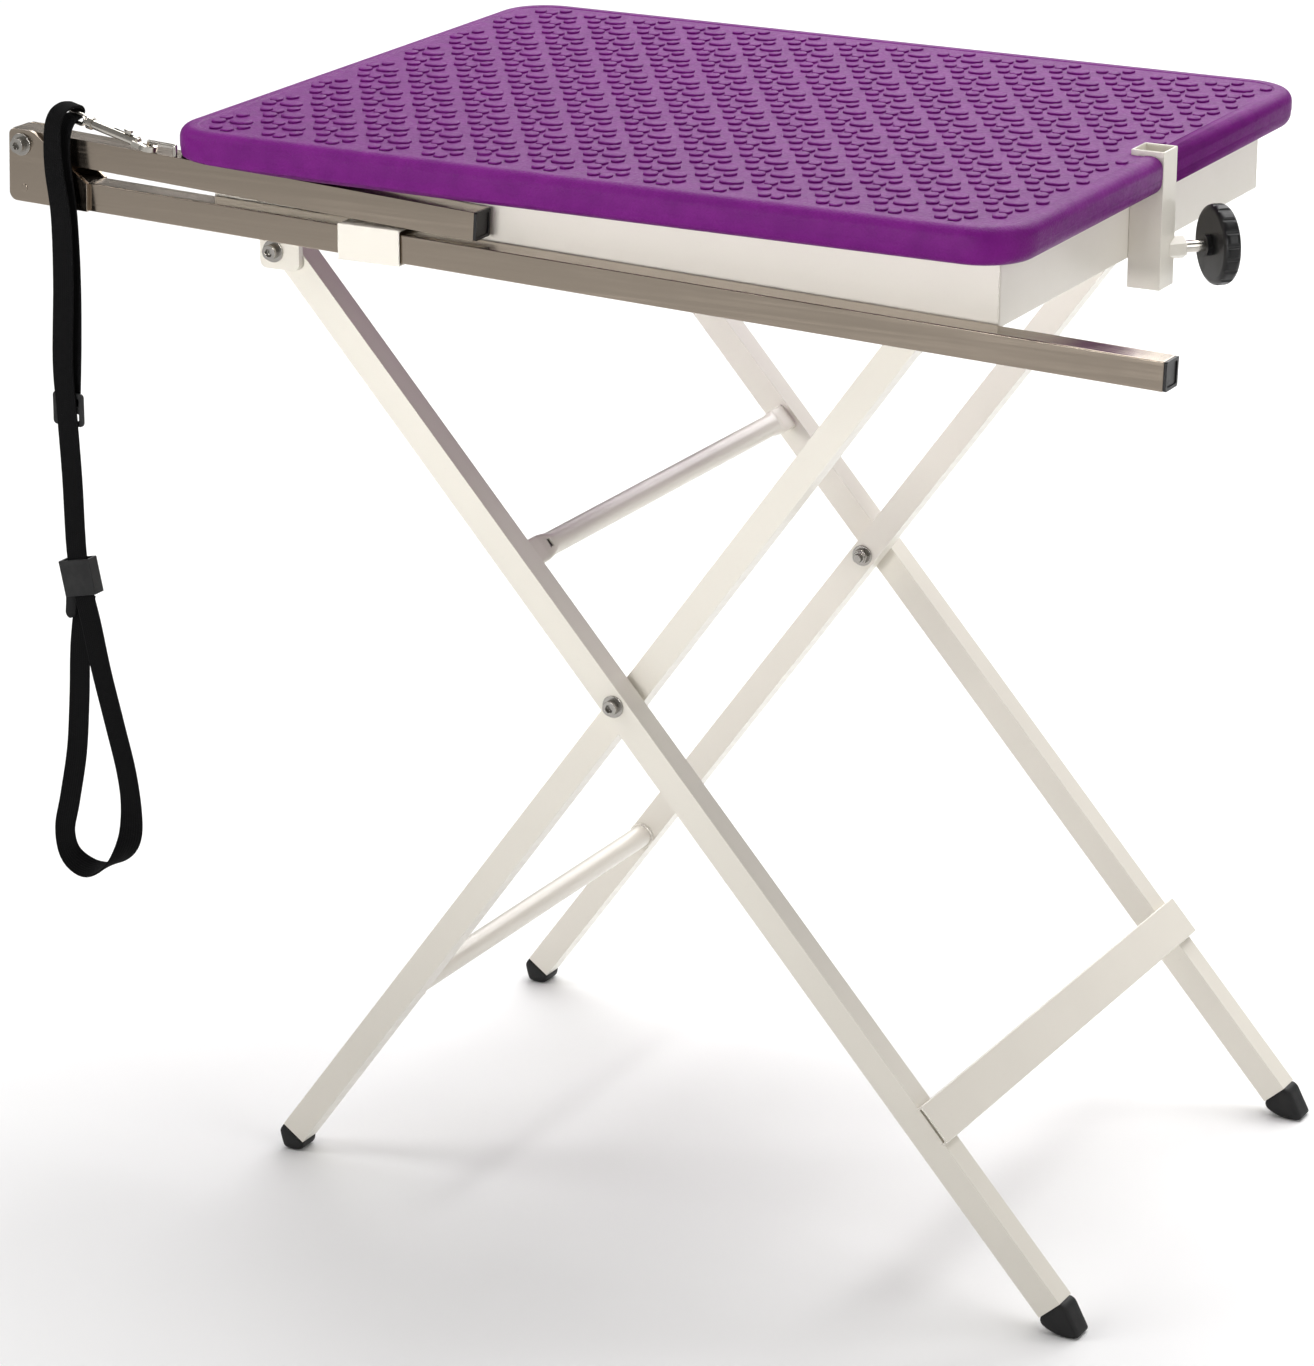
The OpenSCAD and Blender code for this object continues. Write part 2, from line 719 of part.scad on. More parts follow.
// Across the webbing: along X before the turn, then square to the bend in the XZ plane
function across(p, i, turn, lean) = let (t = tangent(p, i), aim = [1, 0, -lean]) i <= turn
    ? unit(aim - (aim * t) * t) : unit(cross(t, [0, 1, 0]));
web_half = [[1, 0.35], [0.95, 1], [-0.95, 1], [-1, 0.35], [-1, -0.35], [-0.95, -1], [0.95, -1], [1, -0.35]];

module leash_webbing() {
    steps = 2;
    p = smooth(web_route, steps);
    n = len(p);
    k = len(web_half);
    points = [for (i = [0:n - 1]) let (e = in_eye(i / steps), w = web_w * (1 - (1 - bunch) * e),
        a = across(p, i, web_turn * steps, e * tan(snap_tilt)), f = cross(tangent(p, i), a))
        for (q = web_half) p[i] + q[0] * w / 2 * a + q[1] * web_t / 2 * f];
    sides = [for (i = [0:n - 2]) for (j = [0:k - 1])
        [i * k + j, i * k + (j + 1) % k, (i + 1) * k + (j + 1) % k, (i + 1) * k + j]];
    ends = [[for (j = [k - 1:-1:0]) j], [for (j = [0:k - 1]) (n - 1) * k + j]];
    color(black) place() polyhedron(points, concat(sides, ends), convexity = 10);
}

// Slider between the webbing's two layers
slider_z = 538;
module leash_slider() {
    color(black) place() translate([-380, -249.8, slider_z]) rotate([90, 0, 0])
        translate([0, 0, -1.1]) linear_extrude(2.2) difference() {
            round_rect(24, 23, 3);
            for (s = [-1, 1]) translate([0, s * 5.2]) square([17, 5], center = true);
        }
}

// Lock: a flat keeper round the webbing and the noose's end
lock_z = 421;
module at_lock() place() translate([-375, -249, lock_z]) rotate([0, -12, 0]) children();

module leash_lock() {
    color(black) at_lock() difference() {
        translate([-12.5, -5.2, -12.5]) cube([25, 10.4, 25]);
        translate([-10.6, -4.1, -20]) cube([21.2, 8.2, 40]);
    }
}

// Short pull tab under the lock
module leash_tab() {
    color(black) at_lock() translate([-12.5, -2, -28.6]) cube([8, 1.8, 16]);
}

tabletop();
apron_front();
apron_rear();
apron_left();
apron_right();
catch_rail();
catch_pads();
top_screws();
ear_front();
ear_rear();
ear_bolts();
ear_washers();
ear_nuts();
arm_sleeve();
arm_socket();
socket_nut();
outer_leg_front();
outer_leg_rear();
outer_cross_tube();
foot_bar();
outer_feet();
cross_bolts();
cross_washers();
cross_spacers();
cross_nuts();
inner_leg_front();
inner_leg_rear();
inner_cross_tube();
inner_top_bar();
inner_feet();
post_tube();
post_cap();
hinge_plate_front();
hinge_plate_rear();
plate_rivets();
arm_bolt();
arm_washers();
arm_nut();
arm_tube();
arm_caps();
arm_loop();
snap_body();
snap_eye();
snap_thumb();
snap_spring();
clamp_rod();
clamp_knob();
leash_webbing();
leash_slider();
leash_lock();
leash_tab();
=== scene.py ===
"""Visual model of a folding grooming table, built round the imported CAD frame. All lengths in metres."""

import json
import math

import bmesh
import bpy
from mathutils import Matrix, Vector


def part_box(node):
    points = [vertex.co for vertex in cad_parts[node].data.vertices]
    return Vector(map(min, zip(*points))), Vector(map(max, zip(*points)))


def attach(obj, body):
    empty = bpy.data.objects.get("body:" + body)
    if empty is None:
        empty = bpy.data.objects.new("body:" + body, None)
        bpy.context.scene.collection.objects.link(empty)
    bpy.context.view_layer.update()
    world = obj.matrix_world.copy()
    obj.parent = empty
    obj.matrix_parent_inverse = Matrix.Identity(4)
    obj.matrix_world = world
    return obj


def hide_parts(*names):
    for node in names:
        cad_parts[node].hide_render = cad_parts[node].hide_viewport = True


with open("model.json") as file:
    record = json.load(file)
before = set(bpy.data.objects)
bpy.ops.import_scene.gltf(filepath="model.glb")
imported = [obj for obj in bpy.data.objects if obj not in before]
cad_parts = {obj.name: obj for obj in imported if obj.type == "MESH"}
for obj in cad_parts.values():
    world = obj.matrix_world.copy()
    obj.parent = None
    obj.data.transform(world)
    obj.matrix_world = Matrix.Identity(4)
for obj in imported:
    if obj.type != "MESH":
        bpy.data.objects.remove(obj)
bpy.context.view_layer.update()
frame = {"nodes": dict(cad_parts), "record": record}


def node_box(node):
    """The lowest and highest corners of a CAD node at rest."""
    low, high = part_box(node)
    return Vector(low), Vector(high)


MM = 0.001
SLAB_LOW, SLAB_HIGH = node_box("tabletop")
SLAB_MIDDLE = (SLAB_LOW + SLAB_HIGH) / 2
# The CAD is drawn with the middle of the slab's length at x = 0; this moves such a place into the frame
SHIFT = Vector((SLAB_MIDDLE.x, 0, 0))


# ---- camera ----

# Fitted to the photograph: place in the CAD's drawing, angles in degrees, lens and sensor in mm
CAMERA_AT = Vector((1.5118, -3.0307, 1.4700))
CAMERA_YAW = 27.48
CAMERA_PITCH = 18.60
CAMERA_ROLL = 0.26
LENS = 136.16
SENSOR = 36.0


def make_camera():
    yaw, pitch, roll = (math.radians(v) for v in (CAMERA_YAW, CAMERA_PITCH, CAMERA_ROLL))
    forward = Vector((-math.sin(yaw) * math.cos(pitch), math.cos(yaw) * math.cos(pitch), -math.sin(pitch)))
    level = Vector((math.cos(yaw), math.sin(yaw), 0))
    upward = level.cross(forward)
    right = math.cos(roll) * level + math.sin(roll) * upward
    up = -math.sin(roll) * level + math.cos(roll) * upward
    data = bpy.data.cameras.new("camera")
    data.sensor_fit = "VERTICAL"
    data.sensor_height = SENSOR
    data.lens = LENS
    data.clip_end = 100
    camera = bpy.data.objects.new("camera", data)
    turn = Matrix((right, up, -forward)).transposed().to_4x4()
    camera.matrix_world = Matrix.Translation(CAMERA_AT + SHIFT) @ turn
    bpy.context.scene.collection.objects.link(camera)
    bpy.context.scene.camera = camera


# ---- meshes ----

FLAT_ANGLE = math.radians(0.5)
SHARP_ANGLE = math.radians(35)


def new_mesh(name, bm):
    mesh = bpy.data.meshes.new(name)
    bm.to_mesh(mesh)
    bm.free()
    return mesh


def smooth_faces(obj):
    for face in obj.data.polygons:
        face.use_smooth = True


def make_object(name, bm, material, body):
    """A smooth-shaded object from a bmesh, riding on a body."""
    bmesh.ops.recalc_face_normals(bm, faces=bm.faces)
    obj = bpy.data.objects.new(name, new_mesh(name, bm))
    obj.data.materials.append(material)
    smooth_faces(obj)
    bpy.context.scene.collection.objects.link(obj)
    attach(obj, body)
    return obj


def add_modifier(obj, name, kind, **settings):
    modifier = obj.modifiers.new(name, kind)
    for key, value in settings.items():
        setattr(modifier, key, value)


def apply_modifiers(obj):
    """Keeps the shape that the modifiers give, without the modifiers."""
    shape = obj.evaluated_get(bpy.context.evaluated_depsgraph_get())
    mesh = bpy.data.meshes.new_from_object(shape)
    obj.modifiers.clear()
    obj.data = mesh


def weigh_normals(obj):
    """Makes the shading follow the large faces."""
    add_modifier(obj, "shade", "WEIGHTED_NORMAL", keep_sharp=False, weight=80)


def soften(obj, width):
    """Rounds the sharp edges a little, as on any real part."""
    add_modifier(obj, "weld", "WELD", merge_threshold=2e-6)
    # Thin triangles of the CAD's mesh would show as streaks beside the rounded edges
    add_modifier(obj, "flats", "DECIMATE", decimate_type="DISSOLVE", angle_limit=FLAT_ANGLE)
    add_modifier(obj, "edges", "BEVEL", width=width, segments=2, limit_method="ANGLE",
                 angle_limit=SHARP_ANGLE, use_clamp_overlap=True, miter_outer="MITER_ARC")
    weigh_normals(obj)


def join_rings(bm, first, second):
    """A band of faces between two rings of vertices."""
    count = len(first)
    for j in range(count):
        k = (j + 1) % count
        bm.faces.new((first[j], first[k], second[k], second[j]))


def add_rings(bm, rings):
    """Joins rings of points into a skin, and gives the rings' vertices."""
    rows = [[bm.verts.new(point) for point in ring] for ring in rings]
    for first, second in zip(rows, rows[1:]):
        join_rings(bm, first, second)
    return rows


def add_caps(bm, rows):
    """Closes both ends of a skin."""
    bm.faces.new(rows[0])
    bm.faces.new(rows[-1])


def oval(half, power, points):
    """Points of an oval: an ellipse at power 2, and squarer above that."""
    spots = []
    for k in range(points):
        turn = 2 * math.pi * k / points
        c, s = math.cos(turn), math.sin(turn)
        spots.append((math.copysign(abs(c) ** (2 / power), c) * half[0],
                      math.copysign(abs(s) ** (2 / power), s) * half[1]))
    return spots


def ease(t):
    """A smooth step from 0 to 1."""
    t = min(1, max(0, t))
    return t * t * (3 - 2 * t)


# ---- leash ----

WEB_WIDTH = 16 * MM
WEB_THICK = 1.6 * MM
WEB_RIBS = 9
# Share of the width with ribs; the rest is the selvedges
RIBBED = 0.94
POINTS_PER_RIB = 4
# Middle of the webbing, in mm: from behind the slider up, through the snap's eye, down and round the noose
WEB_ROUTE = [
    (-380, -247.8, 540), (-379, -245.8, 580), (-378, -245.4, 625), (-379, -245.4, 670),
    (-382, -245.4, 700), (-382.5, -245, 718), (-381, -243.2, 728.5), (-379, -239.6, 734),
    (-377.8, -236, 735.2), (-377.6, -231.8, 736), (-377.4, -229.9, 738.6), (-377.6, -231.8, 741.6),
    (-378.3, -236.3, 742.9), (-379.8, -242.5, 743), (-382, -248.5, 739.6), (-384, -251.4, 731.5),
    (-384.5, -252.3, 718), (-383.5, -252.4, 700), (-379.5, -252.4, 670), (-379.5, -252, 625),
    (-382, -252, 570), (-380, -252, 535), (-377.5, -252, 490), (-376, -252, 440),
    (-372, -252, 414), (-366, -252, 390), (-359, -252, 357), (-350, -252, 322),
    (-341, -252, 286), (-338, -252, 258), (-341, -252, 236), (-353, -252, 219),
    (-372, -252, 211), (-388, -252, 218), (-393, -252, 236), (-388, -252, 260),
    (-381, -252, 296), (-377.5, -252, 335), (-377, -249.4, 372), (-374, -245.8, 408)]
WEB_STEPS = 6
# Places along the leash, counted in points of the route: where the webbing tilts with the snap hook,
# where it's gathered, from where its width follows the noose, and where it turns over in the noose
TILT_FROM, TILT_TO = 4, 17
GATHER_FROM, GATHER_TO = 2, 19.5
NOOSE_FROM = 22
TWIST_FROM, TWIST_TO = 28.3, 34.3
SNAP_TILT = math.radians(14)
# Share of the full width where it's gathered, and how fast it gets thicker as it narrows
GATHERED_WIDTH = 0.55
GATHERED_THICKER = 0.8


def catmull(a, b, c, d, t):
    """The point at share t of the way from b to c on a Catmull-Rom curve."""
    slope = (c - a) * t
    bend = (2 * a - 5 * b + 4 * c - d) * t * t
    turn = (3 * b - a - 3 * c + d) * t ** 3
    return 0.5 * (2 * b + slope + bend + turn)


def smooth_line(points, steps):
    """A Catmull-Rom curve through the points."""
    last = len(points) - 1
    line = []
    for i in range(last):
        near = [points[max(0, min(last, i + k))] for k in (-1, 0, 1, 2)]
        line += [catmull(*near, k / steps) for k in range(steps)]
    return line + [points[last]]


def web_frames():
    """Centre, direction across and direction through the webbing, and its share of the full width."""
    line = smooth_line([SHIFT + Vector(p) * MM for p in WEB_ROUTE], WEB_STEPS)
    tilt_middle = (TILT_FROM + TILT_TO) / 2
    tilt_half = (TILT_TO - TILT_FROM) / 2
    gather_half = (GATHER_TO - GATHER_FROM) / 2
    frames = []
    for i, centre in enumerate(line):
        along = (line[min(i + 1, len(line) - 1)] - line[max(i - 1, 0)]).normalized()
        u = i / WEB_STEPS
        if u <= NOOSE_FROM:
            tilt = math.sqrt(max(0, 1 - ((u - tilt_middle) / tilt_half) ** 2))
            aim = Vector((1, 0, -tilt * math.tan(SNAP_TILT)))
            across = (aim - aim.dot(along) * along).normalized()
        else:
            turn = math.pi * ease((u - TWIST_FROM) / (TWIST_TO - TWIST_FROM))
            across = along.cross(Vector((0, 1, 0))).normalized()
            across = math.cos(turn) * across - math.sin(turn) * along.cross(across)
        gather = ease((u - GATHER_FROM) / gather_half) * ease((GATHER_TO - u) / gather_half)
        frames.append((centre, across, along.cross(across), 1 - (1 - GATHERED_WIDTH) * gather))
    return frames


def web_section():
    """Outline of the webbing in half widths and half thicknesses: thin selvedges, and shallow ribs."""
    count = WEB_RIBS * POINTS_PER_RIB
    upper = []
    for k in range(count + 1):
        x = RIBBED * (1 - 2 * k / count)
        upper.append((x, 0.80 + 0.20 * abs(math.sin(math.pi * k / POINTS_PER_RIB))))
    lower = [(-x, -y) for x, y in upper]
    return [(1, -0.45), (1, 0.45)] + upper + [(-1, 0.45), (-1, -0.45)] + lower


def make_leash():
    section = web_section()
    bm = bmesh.new()
    uv = bm.loops.layers.uv.new("web")
    frames = web_frames()
    rings = []
    for centre, across, through, share in frames:
        half_width = share * WEB_WIDTH / 2
        half_thick = (1 + GATHERED_THICKER * (1 - share)) * WEB_THICK / 2
        rings.append([centre + x * half_width * across + y * half_thick * through for x, y in section])
    rows = add_rings(bm, rings)
    # Each point's place across and along the webbing, for the weave
    place = {}
    run = 0
    for i, row in enumerate(rows):
        if i:
            run += (frames[i][0] - frames[i - 1][0]).length
        for vert, (x, y) in zip(row, section):
            place[vert] = (x * WEB_WIDTH / 2, run)
    add_caps(bm, rows)
    for face in bm.faces:
        for loop in face.loops:
            loop[uv].uv = place[loop.vert]
    webbing = make_object("leash_strap", bm, WEBBING, "leash")
    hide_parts("leash_webbing")


# The folded tab's outline in half widths and half thicknesses
TAB_OUTLINE = [
    (1, -0.4), (1, 0.4), (0.85, 1), (0, 1.15), (-0.85, 1),
    (-1, 0.4), (-1, -0.4), (-0.85, -1), (0, -1.15), (0.85, -1)]
TAB_HALF_WIDTH = 4.2 * MM
TAB_HALF_THICK = 1 * MM
TAB_STEPS = 14
TAB_TIP_FROM = 0.75
TAB_LEFT = 3.5 * MM
TAB_LEAN = 1.5 * MM
TAB_WAVE = 0.5 * MM


def make_pull_tab():
    """The webbing's free end under the lock: folded, with a rounded tip."""
    low, high = node_box("leash_tab")
    middle = (low + high) / 2
    rings = []
    for k in range(TAB_STEPS + 1):
        t = k / TAB_STEPS
        tip = max(0, (t - TAB_TIP_FROM) / (1 - TAB_TIP_FROM))
        half_width = TAB_HALF_WIDTH * math.sqrt(max(0.05, 1 - tip ** 2))
        centre = Vector((middle.x - TAB_LEFT - TAB_LEAN * t,
                         middle.y + TAB_WAVE * math.sin(2.6 * t),
                         high.z + (low.z - high.z) * t))
        rings.append([centre + Vector((x * half_width, y * TAB_HALF_THICK, 0)) for x, y in TAB_OUTLINE])
    bm = bmesh.new()
    rows = add_rings(bm, rings)
    add_caps(bm, rows)
    tab = make_object("pull_tab", bm, PLAIN_WEBBING, "leash")
    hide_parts("leash_tab")


# ---- materials ----

class Nodes:
    """A short way to write a material's nodes."""

    def __init__(self, name):
        self.material = bpy.data.materials.new(name)
        self.material.use_nodes = True
        self.tree = self.material.node_tree
        self.shader = self.tree.nodes["Principled BSDF"]
        self.place = self.add("ShaderNodeTexCoord").outputs["Object"]

    def add(self, kind, inputs=(), **settings):
        node = self.tree.nodes.new(kind)
        for key, value in settings.items():
            setattr(node, key, value)
        for key, value in dict(inputs).items():
            self.feed(node.inputs[key], value)
        return node

    def feed(self, socket, value):
        if isinstance(value, bpy.types.NodeSocket):
            self.tree.links.new(value, socket)
        else:
            socket.default_value = value

    def scaled(self, scale):
        return self.add("ShaderNodeMapping", {"Vector": self.place, "Scale": scale}).outputs[0]

    def noise(self, scale, detail=3, rough=0.55, vector=None):
        inputs = {"Vector": vector or self.place, "Scale": scale, "Detail": detail, "Roughness": rough}
        return self.add("ShaderNodeTexNoise", inputs).outputs["Fac"]

    def cells(self, scale):
        inputs = {"Vector": self.place, "Scale": scale}
        return self.add("ShaderNodeTexVoronoi", inputs, feature="F1").outputs["Distance"]

    def remap(self, value, low, high, to_low, to_high):
        inputs = {"Value": value, "From Min": low, "From Max": high, "To Min": to_low, "To Max": to_high}
        return self.add("ShaderNodeMapRange", inputs).outputs[0]

    def math(self, kind, a, b=0.0):
        """One step of arithmetic on values or sockets."""
        node = self.add("ShaderNodeMath", operation=kind)
        self.feed(node.inputs[0], a)
        self.feed(node.inputs[1], b)
        return node.outputs[0]

    def blend(self, fac, first, second):
        """A mix of two colours, each a tuple or a socket."""
        node = self.add("ShaderNodeMix", data_type="RGBA")
        self.feed(node.inputs["Factor"], fac)
        self.feed(node.inputs["A"], (*first, 1) if isinstance(first, tuple) else first)
        self.feed(node.inputs["B"], (*second, 1) if isinstance(second, tuple) else second)
        return node.outputs["Result"]

    def bump(self, height, strength, distance, under=None):
        node = self.add("ShaderNodeBump", {"Height": height, "Strength": strength, "Distance": distance})
        if under:
            self.feed(node.inputs["Normal"], under)
        return node.outputs[0]

    def finish(self, colour, roughness, normal=None, **sockets):
        """Feeds the shader; each further keyword is a socket's name with _ for a space."""
        self.feed(self.shader.inputs["Base Color"], colour)
        self.feed(self.shader.inputs["Roughness"], roughness)
        if normal:
            self.feed(self.shader.inputs["Normal"], normal)
        for key, value in sockets.items():
            self.feed(self.shader.inputs[key.replace("_", " ")], value)
        return self.material


def leather_plastic(name, dark, light, grain):
    """Moulded plastic with a fine leather grain: small rounded cells with creases between them."""
    n = Nodes(name)
    cells = n.cells(grain)
    creases = n.remap(cells, 0.15, 0.75, 1, 0)
    patches = n.remap(n.noise(60, 4), 0.35, 0.65, 0, 1)
    fine = n.noise(2600, 2)
    colour = n.blend(patches, dark, light)
    # Painted shade: the colour is darkened towards the creases between the grain's cells.
    shade = n.remap(cells, 0.35, 0.95, 0, 0.35)
    colour = n.blend(shade, colour, tuple(0.72 * c for c in dark))
    rough = n.remap(n.noise(300), 0.3, 0.7, 0.40, 0.52)
    normal = n.bump(creases, 0.55, 0.00025, n.bump(fine, 0.15, 0.00008))
    return n.finish(colour, rough, normal, Specular_IOR_Level=0.12)


def powder_coat(name, colour):
    """Powder coat: fine orange peel, and a little dirt and colour drift."""
    n = Nodes(name)
    drift = n.remap(n.noise(9, 3), 0.3, 0.7, 0, 1)
    paint = n.blend(drift, colour, tuple(0.955 * c for c in colour))
    dust = n.remap(n.noise(220, 5, 0.7), 0.62, 0.78, 0, 0.22)
    paint = n.blend(dust, paint, (0.62, 0.58, 0.50))
    rough = n.remap(n.noise(140), 0.3, 0.7, 0.30, 0.42)
    normal = n.bump(n.noise(700, 2), 0.22, 0.0002)
    return n.finish(paint, rough, normal, Coat_Weight=0.25, Coat_Roughness=0.18)


def drawn_metal(name, colour, rough, stretch, mark):
    """Metal with fine lines along its length; stretch is the noise's scale along X, Y and Z,
    and mark is how dark the lines are."""
    n = Nodes(name)
    lines = n.noise(1, 5, 0.65, n.scaled(stretch))
    haze = n.noise(22, 3)
    tone = n.blend(n.remap(lines, 0.3, 0.7, 0, 1), colour, tuple((1 - mark * 2.2) * c for c in colour))
    tone = n.blend(n.remap(haze, 0.4, 0.7, 0, 0.35), tone, tuple(0.82 * c for c in colour))
    roughness = n.math("ADD", n.remap(lines, 0.3, 0.7, rough - 0.05, rough + 0.07),
                       n.remap(haze, 0.4, 0.7, 0, 0.05))
    return n.finish(tone, roughness, n.bump(lines, 0.10, 0.0001), Metallic=1.0)


def plated(name, colour, rough):
    """Bright plating: clear, with faint cloudiness and small pits."""
    n = Nodes(name)
    cloud = n.noise(180, 4)
    pits = n.remap(n.noise(1500, 2), 0.66, 0.74, 0, 1)
    tone = n.blend(n.remap(cloud, 0.35, 0.7, 0, 1), colour, tuple(0.86 * c for c in colour))
    tone = n.blend(n.math("MULTIPLY", pits, 0.5), tone, (0.28, 0.26, 0.23))
    roughness = n.remap(cloud, 0.3, 0.7, rough - 0.04, rough + 0.08)
    return n.finish(tone, roughness, n.bump(pits, 0.15, 0.00005), Metallic=1.0)


def moulded(name, colour, rough, scale, strength, pale):
    """Moulded rubber or plastic: fine pebble, uneven gloss, pale dust in places."""
    n = Nodes(name)
    pebble = n.cells(scale)
    worn = n.remap(n.noise(75, 5, 0.65), 0.45, 0.75, 0, 1)
    tone = n.blend(n.math("MULTIPLY", worn, 0.5), colour, pale)
    roughness = n.remap(worn, 0, 1, rough, rough + 0.14)
    return n.finish(tone, roughness, n.bump(pebble, strength, 0.0002), Specular_IOR_Level=0.28)


# Length of webbing from one pick of the weave to the next
PICK_STEP = 1.3 * MM


def woven(name, colour, pale):
    """Nylon webbing: slanted picks across each rib of the strap, from the strap's own length and width."""
    n = Nodes(name)
    place = n.add("ShaderNodeUVMap", uv_map="web").outputs[0]
    parts = n.add("ShaderNodeSeparateXYZ", {"Vector": place}).outputs
    rib_step = WEB_WIDTH * RIBBED / WEB_RIBS
    rib = n.math("ABSOLUTE", n.math("SINE", n.math("MULTIPLY", parts[0], math.pi / rib_step)))
    slant = n.math("ADD", parts[1], n.math("MULTIPLY", n.math("ABSOLUTE", parts[0]), 0.6))
    pick = n.math("ABSOLUTE", n.math("SINE", n.math("MULTIPLY", slant, math.pi / PICK_STEP)))
    weave = n.math("MULTIPLY", pick, rib)
    fuzz = n.noise(1800, 3)
    # Painted shade and highlight: the colour is darker in the weave's hollows and paler on its crowns.
    tone = n.blend(n.remap(weave, 0.1, 0.9, 0, 1), tuple(0.55 * c for c in colour), pale)
    tone = n.blend(n.remap(fuzz, 0.55, 0.8, 0, 0.4), tone, tuple(1.3 * c for c in pale))
    rough = n.remap(weave, 0, 1, 0.9, 0.7)
    return n.finish(tone, rough, n.bump(n.math("ADD", weave, n.math("MULTIPLY", fuzz, 0.3)), 0.7, 0.0004),
                    Specular_IOR_Level=0.06, Sheen_Weight=0.02, Sheen_Roughness=0.4)


def plain_floor():
    """A matt, nearly white floor with a faint unevenness."""
    n = Nodes("floor")
    tone = n.blend(n.remap(n.noise(1.3, 4), 0.3, 0.7, 0, 1), (0.90, 0.90, 0.90), (0.87, 0.87, 0.87))
    return n.finish(tone, n.remap(n.noise(6), 0.3, 0.7, 0.65, 0.8))


PURPLE = leather_plastic("purple_leather_grain", (0.125, 0.004, 0.143), (0.155, 0.007, 0.172), 850)
WHITE = powder_coat("cream_powder_coat", (0.80, 0.76, 0.68))
# Painted reflection: the stainless colour is darker and browner than bare steel, standing in for darker
# surroundings mirrored in the tube.
STAINLESS = drawn_metal("stainless_tube", (0.42, 0.355, 0.29), 0.14, (6, 500, 500), 0.03)
# Painted reflection: the zinc and nickel colours are darkened as well, standing in for dark surroundings
# mirrored in the screws.
ZINC = plated("zinc_plate", (0.46, 0.44, 0.41), 0.20)
NICKEL = plated("nickel_plate", (0.58, 0.55, 0.50), 0.14)
RUBBER = moulded("black_rubber", (0.009, 0.009, 0.0095), 0.5, 1500, 0.35, (0.022, 0.022, 0.021))
PLASTIC = moulded("black_plastic", (0.009, 0.009, 0.0095), 0.30, 1900, 0.15, (0.03, 0.03, 0.03))
NYLON = moulded("natural_nylon", (0.80, 0.79, 0.74), 0.38, 1200, 0.12, (0.70, 0.68, 0.62))
PLAIN_WEBBING = moulded("folded_webbing", (0.005, 0.005, 0.0055), 0.8, 2200, 0.5, (0.010, 0.010, 0.0105))
WEBBING = woven("black_webbing", (0.004, 0.004, 0.0043), (0.009, 0.009, 0.0095))

# Material and edge rounding for each of the record's material slots; the top is replaced whole
FINISHES = {
    "purple_top": (PURPLE, None),
    "white_coat": (WHITE, 0.8 * MM),
    "stainless": (STAINLESS, 0.9 * MM),
    "zinc": (ZINC, 0.3 * MM),
    "nickel": (NICKEL, 0.3 * MM),
    "rubber": (RUBBER, 2.2 * MM),
    "black_plastic": (PLASTIC, 0.5 * MM),
    "nylon": (NYLON, 0.4 * MM),
    "webbing": (PLAIN_WEBBING, 0.3 * MM)}


def finish_cad_nodes():
    """Gives every CAD node its material, and rounds its edges."""
    for part in frame["record"]["subparts"]:
        material, edge = FINISHES[part["material_slot"]]
        obj = frame["nodes"][part["node"]]
        obj.data.materials.clear()
        obj.data.materials.append(material)
        if edge:
            soften(obj, edge)


# ---- slab ----

CORNER = 38 * MM
CORNER_STEPS = 14
EDGE_STEPS = 8
UPPER_EDGE = 8 * MM
LOWER_EDGE = 9 * MM
RIM_RISE = 0.6 * MM
# Where the flat faces start, in mm from the side
FLAT_INSET = 30
# The step up to the rim: mm from the side, and share of RIM_RISE still below the rim
RIM_STEP = [(FLAT_INSET, 1), (13.4, 1), (12.9, 0.9), (12.4, 0.15), (11.9, 0), (11.3, 0)]
# The mould's seam round the side: how far it steps in, its height, and its place over the lower edge
SEAM_STEP = 0.35 * MM
SEAM_HEIGHT = 0.6 * MM
SEAM_RISE = 1.5 * MM
SOCKET_LOW, SOCKET_HIGH = node_box("arm_socket")
# Room round the socket in its notch
NOTCH_SIDE_GAP = 1.5 * MM
NOTCH_END_GAP = 1 * MM
# The stored arm runs in a channel under the front edge, from one x to another in the arm's own direction
ARM_PIVOT = Vector((-417, 0, 713)) * MM
ARM_TILT = math.radians(2.95)
ARM_WIDTH = 19 * MM
CHANNEL_FROM = 60 * MM
CHANNEL_TO = 403 * MM
CHANNEL_BACK = -216.3 * MM
CHANNEL_GAP = 1.2 * MM
# How far a cutter reaches out of the slab
OVERCUT = 10 * MM


def rounded_outline(inset, z):
    """The slab's outline moved in by inset, from the right rear corner round."""
    half = (SLAB_HIGH - SLAB_LOW) / 2 - Vector((inset, inset, 0))
    radius = max(CORNER - inset, 2 * MM)
    points = []
    for quarter, (sx, sy) in enumerate(((1, 1), (-1, 1), (-1, -1), (1, -1))):
        centre = Vector((SLAB_MIDDLE.x + sx * (half.x - radius), SLAB_MIDDLE.y + sy * (half.y - radius), z))
        for k in range(CORNER_STEPS + 1):
            turn = math.pi / 2 * (quarter + k / CORNER_STEPS)
            points.append(centre + radius * Vector((math.cos(turn), math.sin(turn), 0)))
    return points


def slab_profile():
    """Inset and height of each ring, from the upper face down the side to the lower face."""
    low, high = SLAB_LOW.z, SLAB_HIGH.z
    turns = [math.pi / 2 * k / EDGE_STEPS for k in range(EDGE_STEPS + 1)]
    profile = [(inset * MM, high - drop * RIM_RISE) for inset, drop in RIM_STEP]
    for turn in turns:
        profile.append((UPPER_EDGE * (1 - math.sin(turn)), high - UPPER_EDGE * (1 - math.cos(turn))))
    seam = low + LOWER_EDGE + SEAM_RISE
    profile += [(0, seam + SEAM_HEIGHT), (SEAM_STEP, seam)]
    for turn in turns:
        inset = SEAM_STEP + LOWER_EDGE * (1 - math.cos(turn))
        profile.append((inset, low + LOWER_EDGE * (1 - math.sin(turn))))
    return profile + [(FLAT_INSET * MM, low)]


